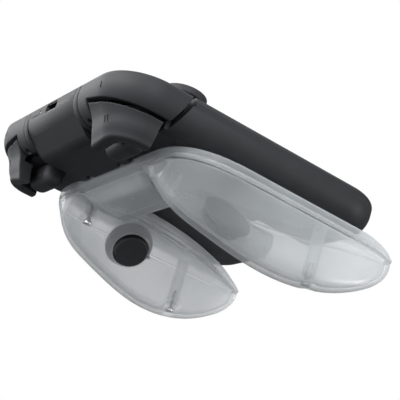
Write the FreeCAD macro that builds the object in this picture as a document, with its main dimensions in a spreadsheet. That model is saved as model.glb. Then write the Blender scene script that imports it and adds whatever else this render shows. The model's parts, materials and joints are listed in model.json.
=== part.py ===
import FreeCAD, Part
import Sketcher

import math
import os
import re

# Two slim motion controllers docked on a charging grip with two handles.
#
# Working frame: X to the player's right, Y towards the shoulder edge, Z out of the face with the sticks.
# Z = 0 is the middle of the slim controllers and X = 0 the middle of the grip. Every piece is moved by
# shift_y and rest_height, so that the finished part stands with the middle of its base at the origin.
# Pieces are modelled on the right-hand side, and a left-hand piece is the mirror image of such a piece.

SIZES = {
    "shift_y": 4.0, "rest_height": 35.94, "gap": 0.3, "wall": 1.6, "beyond": 3.0,
    # slim controller
    "side_inner": 19.0, "side_outer": 55.0, "end_y": 58.0, "face_z": 7.0, "parting_z": 3.2,
    "corner_r": 18.0, "front_edge_r": 2.2, "back_edge_r": 9.8, "floor_step_z": -1.0, "side_inset": 2.2,
    "floor_inset": 6.0,
    # shoulder button, trigger and release lever
    "shoulder_start_x": 22.2, "shoulder_end_y": 33.4, "shoulder_depth": 4.4, "shoulder_room": 6.0,
    "end_gap": 1.8, "front_end_y": 29.6, "end_slope": 0.4, "strip_end_x": 28.6, "strip_low_y": 49.8,
    "strip_gap": 0.6, "split_z": -0.9, "split_slope": 0.15, "hinge_x": 25.6, "hinge_y": 51.6,
    "hinge_pin_r": 1.0, "hinge_low_z": -5.0, "running_gap": 0.05, "trigger_start_x": 29.5,
    "trigger_top_z": -2.1, "trigger_neck_r": 9.6, "trigger_neck_z": -8.5, "trigger_lip_z": -16.8,
    "trigger_lip_r": 10.2, "trigger_back_r": 5.6, "trigger_end": 3.0, "trigger_top_r": 16.6,
    "trigger_face_r": 11.4, "trigger_face_z": -8.6, "trigger_face_turn": 9.0, "trigger_lip_turn": 1.7,
    "trigger_back_turn": 1.4, "trigger_room_r": 7.8, "trigger_room_z": -1.2, "trigger_room_y": 35.4,
    "lever_start_x": 22.6, "lever_end_x": 40.0, "lever_low_y": 34.8, "lever_high_y": 43.4,
    "lever_back_z": -14.8, "lever_round": 3.6, "lever_stem_x": 5.0, "lever_stem_y": 2.2,
    "lever_travel": 2.0,
    # stick
    "stick_x": 36.4, "stick_high_y": 26.2, "stick_low_y": -6.5, "pivot_z": 0.5, "dome_r": 8.4,
    "dome_wall": 0.9, "stick_hole_r": 7.3, "cap_r": 8.2, "cap_low_z": 11.8, "cap_top_z": 15.0,
    "cap_round": 0.9, "cap_rim": 1.8, "cap_rim_round": 0.6, "cap_dish_edge": 3.0, "cap_dish": 0.7,
    "cap_dish_round": 2.0, "neck_r": 3.2, "shaft_r": 1.9, "shaft_top": 5.6, "pin_short": 0.4,
    "pin_r": 0.7, "ring_inner_r": 3.0, "ring_outer_r": 4.7, "ring_half": 0.9, "ear_inner": 5.1,
    "ear_outer": 6.7, "ear_half": 1.5, "cradle_low_z": -4.0, "cradle_top_z": -3.2, "cradle_half": 3.0,
    "module_half": 9.8, "module_chamfer": 5.4, "module_well_r": 9.0, "module_low_z": -5.2,
    "module_floor_z": -4.6, "module_top_z": 4.8,
    # buttons of the face
    "button_r": 3.5, "flange": 0.6, "button_top_z": 8.3, "button_pitch": 9.0, "cluster_high_y": 23.4,
    "cluster_low_y": -6.5, "flange_low_z": 3.4, "flange_top_z": 4.9, "button_edge": 0.6,
    "menu_button_r": 2.0, "menu_x": 27.0, "menu_y": 44.4, "lower_button_r": 2.6, "lower_x": 29.6,
    "lower_y": -29.0,
    # side buttons of the docking edge
    "side_button_high_y": 25.0, "side_button_low_y": -20.0, "side_button_half_y": 5.0,
    "side_button_half_z": 1.5, "side_button_x": 19.1, "side_button_depth": 2.6,
    # inner pieces of a slim controller
    "board_low_z": 0.4, "board_top_z": 1.6, "inner_x": 26.6, "board_outer_x": 52.0,
    "board_low_y": -43.8, "board_corner_r": 12.0, "menu_room": 3.0, "battery_low_z": -5.0,
    "battery_top_z": -0.2, "battery_outer_x": 47.0, "battery_low_y": -42.0, "battery_high_y": -19.0,
    "motor_half": 8.0, "motor_gap": 2.0, "motor_high_y": 20.4, "motor_low_y": 3.5, "battery_round": 1.0,
    "motor_round": 2.0, "rail_low_y": -40.0, "rail_high_y": 46.0, "rail_half_z": 4.5, "rail_depth": 1.5,
    # centre housing
    "housing_half": 18.7, "housing_end_y": -28.0, "belly_z": -9.8, "belly_y": 47.6,
    "belly_turn_z": -1.0, "belly_low_y": 29.6, "belly_round": 6.0, "belly_edge_round": 8.6,
    "housing_low_round": 3.0, "housing_edge": 2.4, "housing_low_room": 3.0, "housing_high_room": 8.4,
    "port_half_x": 4.5, "port_half_z": 1.6, "port_z": 3.3, "port_wall": 0.3, "port_room": 0.15,
    "port_floor": 0.6, "tongue_root": 0.4, "tongue_short": 2.6, "slot_roundness": 0.96,
    "port_low_y": 50.2, "port_high_y": 57.7, "tongue_half_x": 3.3, "tongue_half_z": 0.35,
    "light_x": 9.4, "light_r": 0.7, "light_low_y": 54.4, "light_sink": 0.2, "grip_board_x": 15.0,
    "grip_board_low_y": -22.0, "grip_board_high_y": 49.6, "grip_board_low_z": 0.3,
    "grip_board_top_z": 1.5, "dock_low_y": -24.0, "dock_high_y": 48.0, "dock_depth": 1.4,
    # grip shells
    "deck_z": -7.3, "deck_wall": 1.5, "shell_wall": 1.8, "inner_edge_z": -10.2, "inner_edge_r": 1.6,
    "band_z": -12.0, "bridge_half": 22.6, "bridge_low_y": 1.0, "bridge_high_y": 29.0,
    "bridge_belly_z": -16.6, "bridge_lean": 7.0,
    # back button on the sloping inner face of a handle
    "back_button_x": 31.4, "back_button_y": -4.1, "back_button_z": -22.3, "back_button_tilt": 49.0,
    "back_button_r": 6.6, "back_button_rise": 0.5, "back_button_low": -3.4, "back_flange": 0.9,
    "back_flange_top": -2.6, "carrier_r": 9.6, "carrier_top": -5.2, "carrier_plate": 1.0,
    "switch_r": 1.5, "switch_gap": 1.0, "carrier_leg_r": 0.7, "carrier_leg_place": 8.7,
    "carrier_leg_top": -2.6,
    # screws
    "screw_r": 0.9, "screw_head_r": 1.7, "screw_head": 1.2, "screw_shank": 8.0, "screw_bite": 1.5,
    "boss_r": 2.5, "shell_boss_r": 3.2, "shell_boss": 5.0, "screw_sink": 1.4,
}

# Sections of a handle from the shoulder side to the tip: place along Y, inner edge, outer side, place and
# depth of the ridge, and the radius of the ridge.
HANDLE_SECTIONS = (
    (29.0, 20.0, 36.5, 31.0, -12.8, 2.5),
    (26.5, 20.0, 45.2, 35.5, -18.8, 5.0),
    (18.0, 20.0, 53.0, 39.5, -26.4, 7.5),
    (8.0, 20.0, 55.4, 42.0, -30.0, 8.0),
    (-5.0, 21.0, 55.8, 44.6, -33.4, 8.0),
    (-20.0, 24.2, 55.8, 47.4, -35.8, 7.6),
    (-35.0, 30.2, 55.8, 49.6, -35.0, 6.2),
    (-48.0, 37.6, 55.8, 51.0, -31.0, 4.8),
    (-58.0, 44.2, 55.6, 52.0, -25.2, 3.6),
    (-64.0, 48.2, 55.0, 52.4, -19.4, 2.4),
    (-66.0, 50.2, 54.2, 52.4, -15.4, 1.5),
)
SECTION_FIELDS = ("station", "inner", "outer", "ridge_x", "ridge", "turn")

CONTROLLER_SCREWS = ((23.6, -46.8), (40.0, -46.8), (23.6, 12.5), (23.6, 38.0))
GRIP_SCREWS = ((31.2, 17.6), (46.9, -35.6))
HOUSING_SCREWS = ((-12.0, 30.0), (12.0, 30.0), (-12.0, -20.0), (12.0, -20.0))

ALIAS = re.compile(r"[a-z][a-z_0-9]*")
EDGE_TOLERANCE = 0.01

doc = FreeCAD.newDocument("motion_controllers")
sheet = doc.addObject("Spreadsheet::Sheet", "Sizes")
nodes = []


# ---- sheet ---------------------------------------------------------------------------------------------

def section_alias(field, index):
    return f"{field}_{'abcdefghijk'[index]}"


def fill_sheet():
    """Write every driving size into the sheet under its own alias."""
    rows = dict(SIZES)
    for index, section in enumerate(HANDLE_SECTIONS):
        for field, number in zip(SECTION_FIELDS, section):
            rows[section_alias(field, index)] = number
    for row, (name, number) in enumerate(rows.items(), start=1):
        sheet.set(f"A{row}", name)
        sheet.set(f"B{row}", str(number))
        sheet.setAlias(f"B{row}", name)
    doc.recompute()


def ref(text):
    """Turn a formula in alias names into a FreeCAD expression."""
    return ALIAS.sub(lambda found: f"Sizes.{found[0]}", str(text))


def size(text):
    return float(sheet.evalExpression(ref(text)))


# ---- naming and placing --------------------------------------------------------------------------------

def place(piece):
    """Move a piece from the working frame to the frame that the part stands in."""
    piece.setExpression("Placement.Base.y", ref("shift_y"))
    piece.setExpression("Placement.Base.z", ref("rest_height"))
    return piece


def keep(piece, label):
    """Give a finished piece the name of its node."""
    piece.Label = label
    nodes.append(piece)
    return piece


def mirror(source, label):
    """Make the left-hand piece from one modelled on the right."""
    twin = doc.addObject("Part::Mirroring", label)
    twin.Source = source
    twin.Normal = (1, 0, 0)
    return keep(twin, label)


def new_body(name):
    body = doc.addObject("PartDesign::Body", name)
    return place(body)


# ---- sketches ------------------------------------------------------------------------------------------

def new_sketch(body, plane, level, along="0", up="0"):
    """Open a sketch on one of the body's own planes, moved along its normal to a level."""
    support = [item for item in body.Origin.OriginFeatures if item.Role == plane][0]
    sketch = body.newObject("Sketcher::SketchObject", f"{body.Name}_sketch")
    sketch.AttachmentSupport = [(support, "")]
    sketch.MapMode = "FlatFace"
    for axis, text in zip("xyz", (along, up, level)):
        sketch.setExpression(f"AttachmentOffset.Base.{axis}", ref(text))
    return sketch


def bind(sketch, kind, items, text):
    """Add a dimension to a sketch and drive it from the sheet."""
    index = sketch.addConstraint(Sketcher.Constraint(kind, *items, size(text)))
    sketch.renameConstraint(index, f"size_{index}")
    sketch.setExpression(f"Constraints.size_{index}", ref(text))


def pin_point(sketch, item, end, corner):
    bind(sketch, "DistanceX", (-1, 1, item, end), corner[0])
    bind(sketch, "DistanceY", (-1, 1, item, end), corner[1])


def corner_arc(before, corner, after, radius):
    """The arc that rounds a corner between two straight sides."""
    to_before = (before - corner).normalize()
    to_after = (after - corner).normalize()
    half_angle = to_before.getAngle(to_after) / 2
    reach = radius / math.tan(half_angle)
    start = corner + to_before * reach
    end = corner + to_after * reach
    bisector = (to_before + to_after).normalize()
    middle = corner + bisector * (radius / math.sin(half_angle) - radius)
    return Part.Arc(start, middle, end), start, end


def draw_outline(sketch, corners):
    """Draw a closed outline. A corner is (x, y) or, where it is rounded, (x, y, radius)."""
    points = [FreeCAD.Vector(size(corner[0]), size(corner[1]), 0) for corner in corners]
    count = len(corners)
    starts = list(points)
    ends = list(points)
    arcs = {}
    for index, corner in enumerate(corners):
        if len(corner) > 2:
            found = corner_arc(points[index - 1], points[index], points[(index + 1) % count], size(corner[2]))
            arcs[index], ends[index], starts[index] = found
    for index in range(count):
        following = (index + 1) % count
        sketch.addGeometry(Part.LineSegment(starts[index], ends[following]))
    for index, corner in enumerate(corners):
        before = (index - 1) % count
        if index not in arcs:
            sketch.addConstraint(Sketcher.Constraint("Coincident", before, 2, index, 1))
            pin_point(sketch, index, 1, corner)
            continue
        round_off(sketch, arcs[index], before, index, corner)


def round_off(sketch, circle_arc, before, after, corner):
    """Join two sides with an arc whose sharp corner stays where its sizes put it."""
    arc_shape = circle_arc.toShape().Curve
    first, last = circle_arc.toShape().ParameterRange
    turned = arc_shape.Axis.z < 0
    if turned:
        centre = arc_shape.Center
        circle = Part.Circle(centre, FreeCAD.Vector(0, 0, 1), arc_shape.Radius)
        start = arc_shape.value(last)
        end = arc_shape.value(first)
        arc = sketch.addGeometry(Part.ArcOfCircle(circle, circle.parameter(start), circle.parameter(end)))
    else:
        arc = sketch.addGeometry(Part.ArcOfCircle(arc_shape, first, last))
    from_end, to_end = (2, 1) if turned else (1, 2)
    point = sketch.addGeometry(Part.Point(FreeCAD.Vector(size(corner[0]), size(corner[1]), 0)), True)
    pin_point(sketch, point, 1, corner)
    sketch.addConstraint(Sketcher.Constraint("Tangent", before, 2, arc, from_end))
    sketch.addConstraint(Sketcher.Constraint("Tangent", arc, to_end, after, 1))
    sketch.addConstraint(Sketcher.Constraint("PointOnObject", point, 1, before))
    sketch.addConstraint(Sketcher.Constraint("PointOnObject", point, 1, after))
    bind(sketch, "Radius", (arc,), corner[2])


def draw_circle(sketch, centre_x, centre_y, radius):
    centre = FreeCAD.Vector(size(centre_x), size(centre_y), 0)
    circle = sketch.addGeometry(Part.Circle(centre, FreeCAD.Vector(0, 0, 1), size(radius)))
    pin_point(sketch, circle, 3, (centre_x, centre_y))
    bind(sketch, "Radius", (circle,), radius)


def rectangle(left, right, bottom, top, lower_right=None, upper_right=None):
    """Corners of an upright rectangle, with its right-hand corners rounded where a radius is given."""
    corners = [(left, bottom), (right, bottom), (right, top), (left, top)]
    if lower_right:
        corners[1] += (lower_right,)
    if upper_right:
        corners[2] += (upper_right,)
    return corners


# ---- features ------------------------------------------------------------------------------------------

def extrude(body, sketch, length, cut=False):
    """Pad along the sketch's normal, or pocket against it."""
    kind = "PartDesign::Pocket" if cut else "PartDesign::Pad"
    feature = body.newObject(kind, f"{body.Name}_{'pocket' if cut else 'pad'}")
    feature.Profile = sketch
    feature.setExpression("Length", ref(length))
    return feature


def prism(body, low, high, *outlines):
    for corners in outlines:
        sketch = new_sketch(body, "XY_Plane", low)
        draw_outline(sketch, corners)
        extrude(body, sketch, f"({high}) - ({low})")


def cut_prism(body, low, high, *outlines):
    for corners in outlines:
        sketch = new_sketch(body, "XY_Plane", high)
        draw_outline(sketch, corners)
        extrude(body, sketch, f"({high}) - ({low})", cut=True)


def post(body, low, high, *circles):
    for circle in circles:
        sketch = new_sketch(body, "XY_Plane", low)
        draw_circle(sketch, *circle)
        extrude(body, sketch, f"({high}) - ({low})")


def cut_post(body, low, high, *circles):
    for circle in circles:
        sketch = new_sketch(body, "XY_Plane", high)
        draw_circle(sketch, *circle)
        extrude(body, sketch, f"({high}) - ({low})", cut=True)


def side_prism(body, low, high, corners):
    """Pad an outline in Y and Z from one X to another."""
    sketch = new_sketch(body, "YZ_Plane", low)
    draw_outline(sketch, corners)
    extrude(body, sketch, f"({high}) - ({low})")


def side_cut(body, low, high, corners):
    sketch = new_sketch(body, "YZ_Plane", high)
    draw_outline(sketch, corners)
    extrude(body, sketch, f"({high}) - ({low})", cut=True)


def front_cut(body, low, high, corners):
    """Cut an outline in X and Z from one Y to another. The plane's normal points along -Y."""
    sketch = new_sketch(body, "XZ_Plane", f"-({low})")
    draw_outline(sketch, corners)
    extrude(body, sketch, f"({high}) - ({low})", cut=True)


def front_prism(body, low, high, corners):
    sketch = new_sketch(body, "XZ_Plane", f"-({high})")
    draw_outline(sketch, corners)
    extrude(body, sketch, f"({high}) - ({low})")


def fillet(body, radius, chosen):
    """Round the edges of the body's last feature that the test picks."""
    doc.recompute()
    base = body.Tip
    names = [f"Edge{index}" for index, edge in enumerate(base.Shape.Edges, start=1) if chosen(edge)]
    feature = body.newObject("PartDesign::Fillet", f"{body.Name}_fillet")
    feature.Base = (base, names)
    feature.setExpression("Radius", ref(radius))
    return feature


def at_level(level, axis="z"):
    """A test for the edges that lie wholly at one level."""
    wanted = size(level)

    def chosen(edge):
        box = edge.BoundBox
        low, high = (box.ZMin, box.ZMax) if axis == "z" else (box.YMin, box.YMax)
        return abs(low - wanted) < EDGE_TOLERANCE and abs(high - wanted) < EDGE_TOLERANCE
    return chosen


def upright_edges(edge):
    """A test for the upright edges of a block."""
    return edge.BoundBox.ZLength > 1


def rim(level):
    """The outer edges of a slim controller at one level, apart from the straight docking side."""
    at_rim = at_level(level)

    def chosen(edge):
        return at_rim(edge) and edge.BoundBox.XMax > size("side_inner") + 1
    return chosen


# ---- slim controller: casing ---------------------------------------------------------------------------

def controller_outline(inset="0", top=None, inner="wall"):
    """Plan of a slim controller, straight on the docking side and round at its outer corners."""
    left = "side_inner" if inset == "0" else f"side_inner + {inner}"
    return rectangle(left, f"side_outer - {inset}", f"-end_y + {inset}", top or f"end_y - {inset}",
                     f"corner_r - {inset}", None if top else f"corner_r - {inset}")


def corner_room(depth, start_x, end_y):
    """Plan of the room along the outer shoulder corner that the shoulder button or the trigger takes."""
    return [(start_x, f"end_y - {depth}"),
            (f"side_outer - {depth}", f"end_y - {depth}", f"corner_r - {depth}"),
            (f"side_outer - {depth}", end_y), ("side_outer + beyond", end_y),
            ("side_outer + beyond", "end_y + beyond"), (start_x, "end_y + beyond")]


def slanted_end(gap_text):
    """Outline in Y and Z of everything on the shoulder side of the slanting gap in the outer side."""
    start = f"shoulder_end_y - {gap_text}"
    lean = "end_slope * (face_z + beyond)"
    return [(f"{start} - {lean}", "face_z + beyond"), (f"{start} + {lean}", "-face_z - beyond"),
            ("end_y + beyond", "-face_z - beyond"), ("end_y + beyond", "face_z + beyond")]


def cut_buttons(body, holes):
    for hole_x, hole_y, radius in holes:
        cut_post(body, "parting_z", "face_z + beyond", (hole_x, hole_y, radius))


def front_cover(name, holes):
    """Face plate with its side walls, hollow behind, with a hole for each button and the stick."""
    body = new_body(name)
    prism(body, "parting_z", "face_z", controller_outline())
    fillet(body, "front_edge_r", rim("face_z"))
    cut_prism(body, "parting_z", "face_z", corner_room("shoulder_room", "shoulder_start_x - gap",
                                                       "front_end_y"))
    ceiling = "face_z - wall"
    cut_prism(body, "parting_z", ceiling, controller_outline("wall", "front_end_y - wall"))
    inner_room = "(shoulder_room + wall)"
    cut_prism(body, "parting_z", ceiling,
              rectangle("side_inner + wall", f"side_outer - {inner_room}", "0", f"end_y - {inner_room}",
                        None, f"corner_r - {inner_room}"))
    post(body, "parting_z", f"{ceiling} + gap", *[(x, y, "boss_r") for x, y in CONTROLLER_SCREWS])
    cut_post(body, "parting_z", "parting_z + screw_bite + 2 * running_gap",
             *[(x, y, "screw_r") for x, y in CONTROLLER_SCREWS])
    side_cut(body, "side_inner - beyond", "side_inner + rail_depth + gap",
             rectangle("rail_low_y - gap", "rail_high_y + gap", "parting_z - beyond", "rail_half_z + gap"))
    hinge_pin = ("hinge_x", "hinge_y", "hinge_pin_r")
    post(body, "hinge_low_z", "parting_z + gap", hinge_pin)
    cut_buttons(body, holes)
    return body


def back_cover(name):
    """Deep rounded back with room for the shoulder button and the trigger at its outer corner."""
    body = new_body(name)
    prism(body, "-face_z", "parting_z", controller_outline())
    fillet(body, "back_edge_r", rim("-face_z"))
    cut_prism(body, "-face_z", "parting_z", corner_room("shoulder_room", "shoulder_start_x - gap",
                                                        "trigger_room_y"))
    side_cut(body, "side_outer - shoulder_room", "side_outer + beyond", slanted_end("end_gap"))
    trigger_depth = "(corner_r - trigger_room_r)"
    cut_prism(body, "-face_z", "trigger_room_z",
              corner_room(trigger_depth, "shoulder_start_x - gap", "trigger_room_y"))
    cut_prism(body, "-face_z", "parting_z",
              rectangle("shoulder_start_x - gap", "strip_end_x + gap", "strip_low_y - strip_gap",
                        "end_y + beyond"))
    floor = "-face_z + wall"
    cut_prism(body, "floor_step_z", "parting_z", controller_outline("side_inset", "front_end_y - wall"))
    cut_prism(body, floor, "parting_z", controller_outline("floor_inset", "trigger_room_y - wall"))
    cut_prism(body, "floor_step_z", "parting_z",
              rectangle("side_inner + wall", "side_outer - shoulder_room - wall", "0",
                        "strip_low_y - strip_gap - wall", None, "corner_r - shoulder_room - wall"))
    cut_prism(body, floor, "parting_z",
              rectangle("side_inner + wall", "side_outer - corner_r + trigger_room_r - wall", "0",
                        "end_y - corner_r + trigger_room_r - wall", None, "trigger_room_r - wall"))
    post(body, f"{floor} - gap", "parting_z", *[(x, y, "boss_r") for x, y in CONTROLLER_SCREWS])
    cut_post(body, "-face_z", "parting_z", *[(x, y, "screw_r + running_gap") for x, y in CONTROLLER_SCREWS])
    cut_post(body, "-face_z", "-face_z + screw_head + gap",
             *[(x, y, "screw_head_r + running_gap") for x, y in CONTROLLER_SCREWS])
    side_cut(body, "side_inner - beyond", "side_inner + rail_depth + gap",
             rectangle("rail_low_y - gap", "rail_high_y + gap", "-rail_half_z - gap", "parting_z + beyond"))
    lever_x = "(lever_start_x + lever_end_x) / 2"
    lever_y = "(lever_low_y + lever_high_y) / 2"
    cut_prism(body, "-face_z", floor,
              rectangle(f"{lever_x} - lever_stem_x - gap", f"{lever_x} + lever_stem_x + gap",
                        f"{lever_y} - lever_stem_y - lever_travel - gap", f"{lever_y} + lever_stem_y + gap"))
    return body


def rail_plate(name):
    """Docking side of a slim controller, with a slot for each side button."""
    body = new_body(name)
    side_prism(body, "side_inner", "side_inner + rail_depth",
               rectangle("rail_low_y", "rail_high_y", "-rail_half_z", "rail_half_z"))
    for button_y in ("side_button_high_y", "side_button_low_y"):
        side_cut(body, "side_inner - beyond", "side_inner + rail_depth",
                 rectangle(f"{button_y} - side_button_half_y - gap", f"{button_y} + side_button_half_y + gap",
                           "-side_button_half_z - gap", "side_button_half_z + gap"))
    return body


def controller_screws(name):
    """Four small screws that hold the two covers together."""
    screws = []
    for number, (screw_x, screw_y) in enumerate(CONTROLLER_SCREWS, start=1):
        head_low = "-face_z + gap"
        screws.append(screw(f"{name}_{number}", screw_x, screw_y, head_low, "parting_z + screw_bite"))
    return compound(name, screws)


# ---- slim controller: shoulder button, trigger and lever -----------------------------------------------

def shoulder_button(name):
    """Skin of the outer shoulder corner, with a strip at its inner end that turns on a pin."""
    body = new_body(name)
    prism(body, "-face_z", "face_z", controller_outline())
    fillet(body, "back_edge_r", rim("-face_z"))
    fillet(body, "front_edge_r", rim("face_z"))
    far_low = "-end_y - beyond"
    cut_prism(body, "-face_z", "face_z", rectangle("0", "shoulder_start_x", far_low, "end_y + beyond"))
    lean = "end_slope * (face_z + beyond)"
    side_cut(body, "0", "side_outer + beyond",
             [(far_low, "-face_z - beyond"), (f"shoulder_end_y + {lean}", "-face_z - beyond"),
              (f"shoulder_end_y - {lean}", "face_z + beyond"), (far_low, "face_z + beyond")])
    cut_prism(body, "-face_z", "face_z",
              rectangle("strip_end_x", "side_outer - shoulder_depth", "0", "end_y - shoulder_depth", None,
                        "corner_r - shoulder_depth"))
    cut_prism(body, "split_z", "face_z",
              rectangle("0", "strip_end_x + gap", "0", "end_y - shoulder_depth"))
    cut_prism(body, "-face_z", "split_z", rectangle("0", "strip_end_x + gap", "0", "strip_low_y"))
    drop = "split_slope * (side_outer + beyond - strip_end_x)"
    front_cut(body, "0", "end_y + beyond",
              [("strip_end_x", "-face_z - beyond"), ("side_outer + beyond", "-face_z - beyond"),
               ("side_outer + beyond", f"split_z - {drop}"), ("strip_end_x", "split_z")])
    cut_post(body, "-face_z", "face_z", ("hinge_x", "hinge_y", "hinge_pin_r + running_gap"))
    return body


def trigger_profile():
    """Section of the trigger: a short top, a hollowed face for the finger and a lip that hooks back."""
    return [("trigger_neck_r", "trigger_top_z"), ("trigger_top_r", "trigger_top_z"),
            ("trigger_face_r", "trigger_face_z", "trigger_face_turn"),
            ("trigger_lip_r", "trigger_lip_z", "trigger_lip_turn"),
            ("trigger_back_r", "trigger_lip_z", "trigger_back_turn"), ("trigger_back_r", "trigger_neck_z"),
            ("trigger_neck_r", "trigger_neck_z")]


def trigger(name):
    """Trigger that follows the outer corner: a straight run, a quarter turn and a short straight end."""
    body = new_body(name)
    centre_x = "side_outer - corner_r"
    centre_y = "end_y - corner_r"
    first = new_sketch(body, "YZ_Plane", "trigger_start_x", along=centre_y)
    draw_outline(first, trigger_profile())
    extrude(body, first, f"{centre_x} - trigger_start_x")
    around = new_sketch(body, "YZ_Plane", centre_x, along=centre_y)
    draw_outline(around, trigger_profile())
    turn = body.newObject("PartDesign::Revolution", f"{name}_turn")
    turn.Profile = around
    turn.ReferenceAxis = (around, ["V_Axis"])
    turn.Angle = 90
    turn.Reversed = True
    last = new_sketch(body, "XZ_Plane", f"-({centre_y})", along=centre_x)
    draw_outline(last, trigger_profile())
    extrude(body, last, "trigger_end")
    drop = "split_slope * (side_outer + beyond - strip_end_x)"
    front_cut(body, "0", "end_y + beyond",
              [("strip_end_x", "trigger_top_z"), ("side_outer + beyond", f"trigger_top_z - {drop}"),
               ("side_outer + beyond", "0"), ("strip_end_x", "0")])
    return body


def release_lever(name):
    """Rounded bar behind the trigger with a stem that slides in a slot of the back cover."""
    body = new_body(name)
    prism(body, "lever_back_z", "-face_z - gap",
          rectangle("lever_start_x", "lever_end_x", "lever_low_y", "lever_high_y"))
    fillet(body, "lever_round", lambda edge: upright_edges(edge) or at_level("lever_back_z")(edge))
    lever_x = "(lever_start_x + lever_end_x) / 2"
    lever_y = "(lever_low_y + lever_high_y) / 2"
    prism(body, "-face_z - gap", "-face_z + wall - gap",
          rectangle(f"{lever_x} - lever_stem_x", f"{lever_x} + lever_stem_x", f"{lever_y} - lever_stem_y",
                    f"{lever_y} + lever_stem_y"))
    return body


# ---- slim controller: stick ----------------------------------------------------------------------------

def stick_module(name, stick_y):
    """Box with a round well that holds the stick's gimbal."""
    body = new_body(name)
    left, right = "stick_x - module_half", "stick_x + module_half"
    bottom, top = f"{stick_y} - module_half", f"{stick_y} + module_half"
    prism(body, "module_low_z", "module_top_z",
          [(left, bottom), (right, bottom), (right, f"{top} - module_chamfer"),
           (f"{right} - module_chamfer", top), (left, top)])
    cut_post(body, "module_floor_z", "module_top_z", ("stick_x", stick_y, "module_well_r"))
    return body


def stick_cradle(name, stick_y):
    """Plate with two ears that carries the gimbal ring and moves down when the stick is pressed."""
    body = new_body(name)
    prism(body, "cradle_low_z", "cradle_top_z",
          rectangle("stick_x - ear_outer", "stick_x + ear_outer", f"{stick_y} - cradle_half",
                    f"{stick_y} + cradle_half"))
    ear_y = (f"{stick_y} - ear_half", f"{stick_y} + ear_half")
    ear_top = "pivot_z + ear_half"
    prism(body, "cradle_top_z", ear_top,
          rectangle("stick_x - ear_outer", "stick_x - ear_inner", *ear_y),
          rectangle("stick_x + ear_inner", "stick_x + ear_outer", *ear_y))
    bore = new_sketch(body, "YZ_Plane", "stick_x + ear_outer + beyond", along=stick_y, up="pivot_z")
    draw_circle(bore, "0", "0", "pin_r + running_gap")
    extrude(body, bore, "2 * (ear_outer + beyond)", cut=True)
    return body


def stick_ring(name, stick_y):
    """Gimbal ring with a pin on each side along X and a bore along Y for the stick's own pin."""
    body = new_body(name)
    post(body, "pivot_z - ring_half", "pivot_z + ring_half", ("stick_x", stick_y, "ring_outer_r"))
    pins = new_sketch(body, "YZ_Plane", "stick_x - ear_outer", along=stick_y, up="pivot_z")
    draw_circle(pins, "0", "0", "pin_r")
    extrude(body, pins, "2 * ear_outer")
    cut_post(body, "pivot_z - ring_half", "pivot_z + ring_half", ("stick_x", stick_y, "ring_inner_r"))
    bore = new_sketch(body, "XZ_Plane", f"-({stick_y} - ring_outer_r - beyond)", "stick_x", "pivot_z")
    draw_circle(bore, "0", "0", "pin_r + running_gap")
    extrude(body, bore, "2 * (ring_outer_r + beyond)", cut=True)
    return body


def stick_cap(name, stick_y):
    """Thumb cap, neck and dome turned in one piece, with the cross pin that turns in the ring."""
    body = new_body(name)
    cap = new_sketch(body, "XZ_Plane", f"-({stick_y})", along="stick_x")
    draw_outline(cap, [("0", "pivot_z - shaft_r"), ("shaft_r", "pivot_z - shaft_r"),
                       ("shaft_r", "pivot_z + shaft_top"),
                       ("neck_r", "pivot_z + dome_r - dome_wall"), ("neck_r", "cap_low_z", "cap_round"),
                       ("cap_r", "cap_low_z", "cap_round"), ("cap_r", "cap_top_z", "cap_round"),
                       ("cap_r - cap_rim", "cap_top_z", "cap_rim_round"),
                       ("cap_r - cap_dish_edge", "cap_top_z - cap_dish", "cap_dish_round"),
                       ("0", "cap_top_z - cap_dish")])
    spin(body, cap)
    dome = new_sketch(body, "XZ_Plane", f"-({stick_y})", along="stick_x", up="pivot_z")
    draw_dome(dome)
    spin(body, dome)
    pin = new_sketch(body, "XZ_Plane", f"-({stick_y} + ring_outer_r - pin_short)", "stick_x", "pivot_z")
    draw_circle(pin, "0", "0", "pin_r")
    extrude(body, pin, "2 * (ring_outer_r - pin_short)")
    return body


def spin(body, sketch):
    """Turn a half section right round the sketch's upright axis."""
    feature = body.newObject("PartDesign::Revolution", f"{body.Name}_turned")
    feature.Profile = sketch
    feature.ReferenceAxis = (sketch, ["V_Axis"])
    feature.Angle = 360
    return feature


def draw_dome(sketch):
    """Half section of the skirt under the neck: two arcs about the pivot, closed by two short lines."""
    origin = FreeCAD.Vector(0, 0, 0)
    upward = FreeCAD.Vector(0, 0, 1)
    skirt_angle = math.radians(14)
    top_angle = math.radians(80)
    radii = (size("dome_r"), size("dome_r - dome_wall"))
    for radius in radii:
        sketch.addGeometry(Part.ArcOfCircle(Part.Circle(origin, upward, radius), skirt_angle, top_angle))
    for angle in (skirt_angle, top_angle):
        spoke = FreeCAD.Vector(math.cos(angle), math.sin(angle), 0)
        sketch.addGeometry(Part.LineSegment(spoke * radii[0], spoke * radii[1]))
    for arc, text in ((0, "dome_r"), (1, "dome_r - dome_wall")):
        sketch.addConstraint(Sketcher.Constraint("Coincident", arc, 3, -1, 1))
        bind(sketch, "Radius", (arc,), text)
        sketch.addConstraint(Sketcher.Constraint("Coincident", arc, 1, 2, arc + 1))
        sketch.addConstraint(Sketcher.Constraint("Coincident", arc, 2, 3, arc + 1))


# ---- slim controller: buttons and inner pieces ---------------------------------------------------------

def round_button(name, centre_x, centre_y, radius):
    """Button with a flange that stays behind the face plate."""
    body = new_body(name)
    post(body, "flange_low_z", "flange_top_z", (centre_x, centre_y, f"{radius} + flange"))
    post(body, "flange_top_z", "button_top_z", (centre_x, centre_y, radius))
    fillet(body, "button_edge", at_level("button_top_z"))
    return body


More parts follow.
